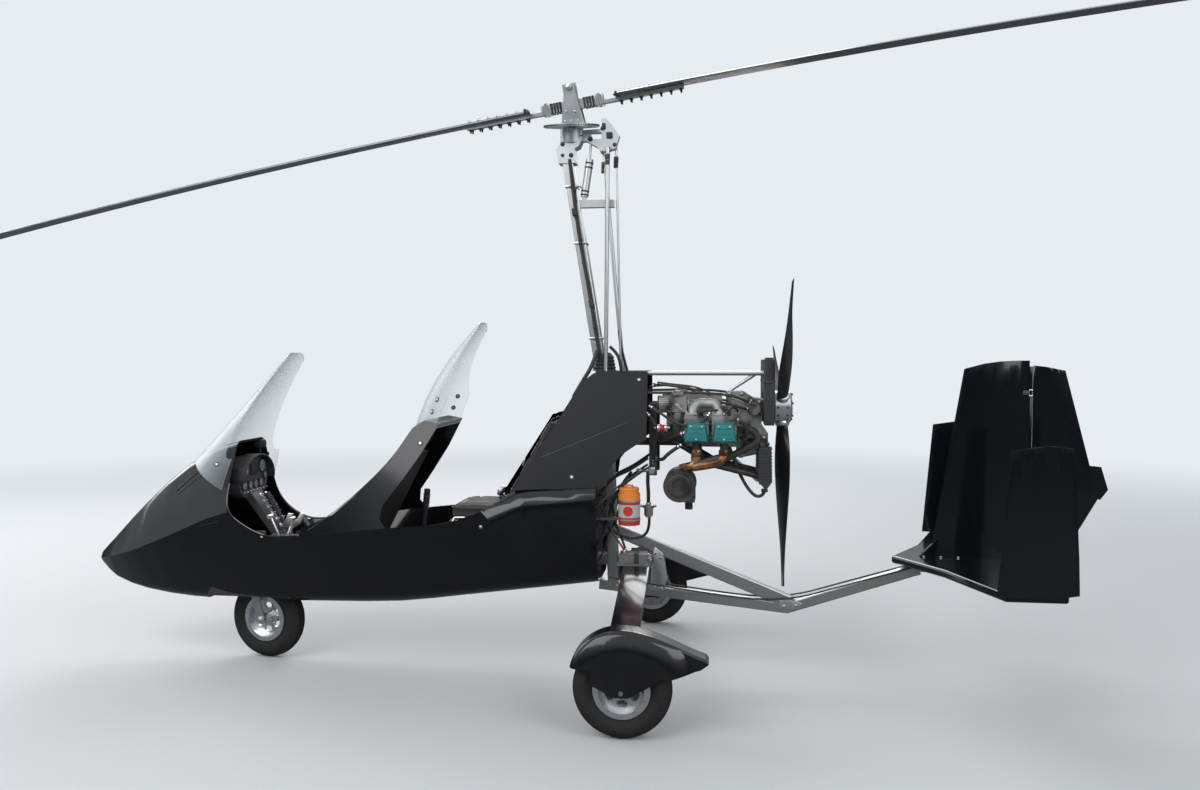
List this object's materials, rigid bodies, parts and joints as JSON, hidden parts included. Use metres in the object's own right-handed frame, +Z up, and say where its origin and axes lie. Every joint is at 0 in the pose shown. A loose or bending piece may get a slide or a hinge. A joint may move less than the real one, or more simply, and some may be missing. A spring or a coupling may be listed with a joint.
{
  "type": "gyrocopter",
  "caption": "Open tandem gyrocopter with a glossy black hull, two windshields, a leaning mast with a teetering rotor, a pusher engine and a triple-finned tail on a tube frame",
  "frame": {"origin": "on the ground under the rotor head, at the middle of the bounding box floor", "axes": "+X points aft, +Y to starboard, +Z up"},
  "size_m": [8.2933, 1.892, 3.3287],
  "materials": {
    "gloss_black": "high-gloss black composite",
    "dark_laminate": "satin dark laminate",
    "panel_grey": "satin grey panel",
    "clear_glazing": "clear thermoformed glazing",
    "seat_cloth": "dark woven upholstery",
    "tyre_rubber": "black tyre rubber",
    "silver_alloy": "machined silver alloy",
    "brushed_steel": "brushed stainless steel",
    "dark_steel": "heat-darkened steel",
    "satin_aluminium": "satin anodised aluminium",
    "cast_alloy": "bead-blasted cast alloy",
    "teal_paint": "teal painted castings",
    "black_matte": "matte black coating",
    "black_carbon": "black composite laminate",
    "hose_rubber": "black reinforced hose",
    "canister_red": "red painted canister",
    "battery_grey": "moulded grey case"
  },
  "bodies": {
    "airframe": {"battery": "battery_grey", "bow_saddle": "brushed_steel", "canister": "canister_red", "centre_fin": "gloss_black", "control_rods": "brushed_steel", "control_sticks": "dark_laminate", "coolant_hose": "hose_rubber", "engine_block": "cast_alloy", "engine_mount": "dark_steel", "exhaust": "dark_steel", "fin_left": "gloss_black", "fin_right": "gloss_black", "firewall": "dark_laminate", "front_back_pad": "seat_cloth", "front_seat_board": "dark_laminate", "front_seat_cushion": "seat_cloth", "front_windshield": "clear_glazing", "gear_bow": "gloss_black", "gearbox": "cast_alloy", "hull": "gloss_black", "instrument_panel": "panel_grey", "intake_tubes": "cast_alloy", "keel_frame": "brushed_steel", "main_axle_left": "brushed_steel", "main_axle_right": "brushed_steel", "mast": "brushed_steel", "mid_fairing": "gloss_black", "muffler": "dark_steel", "nose_wheel_well": "dark_laminate", "oil_cooler": "black_matte", "radiator": "black_matte", "rear_back_pad": "seat_cloth", "rear_cowling": "gloss_black", "rear_seat_board": "dark_laminate", "rear_seat_cushion": "seat_cloth", "rear_windshield": "clear_glazing", "rotor_head": "satin_aluminium", "stabiliser": "gloss_black", "steering_bearing": "brushed_steel", "top_tubes": "brushed_steel", "trim_cylinder": "satin_aluminium", "valve_covers": "teal_paint", "wheel_fairing_left": "gloss_black", "wheel_fairing_right": "gloss_black"},
    "nose_gear": {"nose_fork": "brushed_steel"},
    "nose_wheel": {"nose_tyre": "tyre_rubber", "nose_rim": "silver_alloy"},
    "main_wheel_left": {"left_tyre": "tyre_rubber", "left_rim": "silver_alloy"},
    "main_wheel_right": {"right_tyre": "tyre_rubber", "right_rim": "silver_alloy"},
    "propeller": {"propeller_hub": "silver_alloy", "propeller_blades": "black_carbon"},
    "rotor_mast_top": {"rotor_tower": "satin_aluminium"},
    "rotor": {"rotor_hub_bar": "satin_aluminium", "rotor_blade_fore": "satin_aluminium", "rotor_blade_aft": "satin_aluminium"},
    "rudder": {"rudder": "gloss_black"}
  },
  "joints": [
    {"name": "nose_steer", "type": "hinge", "parent": "airframe", "child": "nose_gear", "pos_m": [-1.659, 0, 0.3], "axis": [0, 0, 1], "range_deg": [-14, 36]},
    {"name": "nose_wheel_spin", "type": "hinge", "parent": "nose_gear", "child": "nose_wheel", "pos_m": [-1.59814, -0.01183, 0.2075], "axis": [0.1908, 0.9816, 0], "continuous": true},
    {"name": "left_wheel_spin", "type": "hinge", "parent": "airframe", "child": "main_wheel_left", "pos_m": [0.352, -0.872, 0.2075], "axis": [0, 1, 0], "continuous": true},
    {"name": "right_wheel_spin", "type": "hinge", "parent": "airframe", "child": "main_wheel_right", "pos_m": [0.352, 0.872, 0.2075], "axis": [0, 1, 0], "continuous": true},
    {"name": "propeller_spin", "type": "hinge", "parent": "airframe", "child": "propeller", "pos_m": [1.046, 0, 1.326], "axis": [1, 0, 0], "continuous": true},
    {"name": "rotor_spin", "type": "hinge", "parent": "airframe", "child": "rotor_mast_top", "pos_m": [0.01, -0.0389, 2.8856], "axis": [0, -0.1736, 0.9848], "continuous": true},
    {"name": "rotor_teeter", "type": "hinge", "parent": "rotor_mast_top", "child": "rotor", "pos_m": [0.01, -0.0389, 2.8856], "axis": [0, 0.9848, 0.1736], "range_deg": [0, 19]},
    {"name": "rudder_turn", "type": "hinge", "parent": "airframe", "child": "rudder", "pos_m": [2.204, 0, 1], "axis": [0, 0, 1], "range_deg": [-25, 25]}
  ]
}
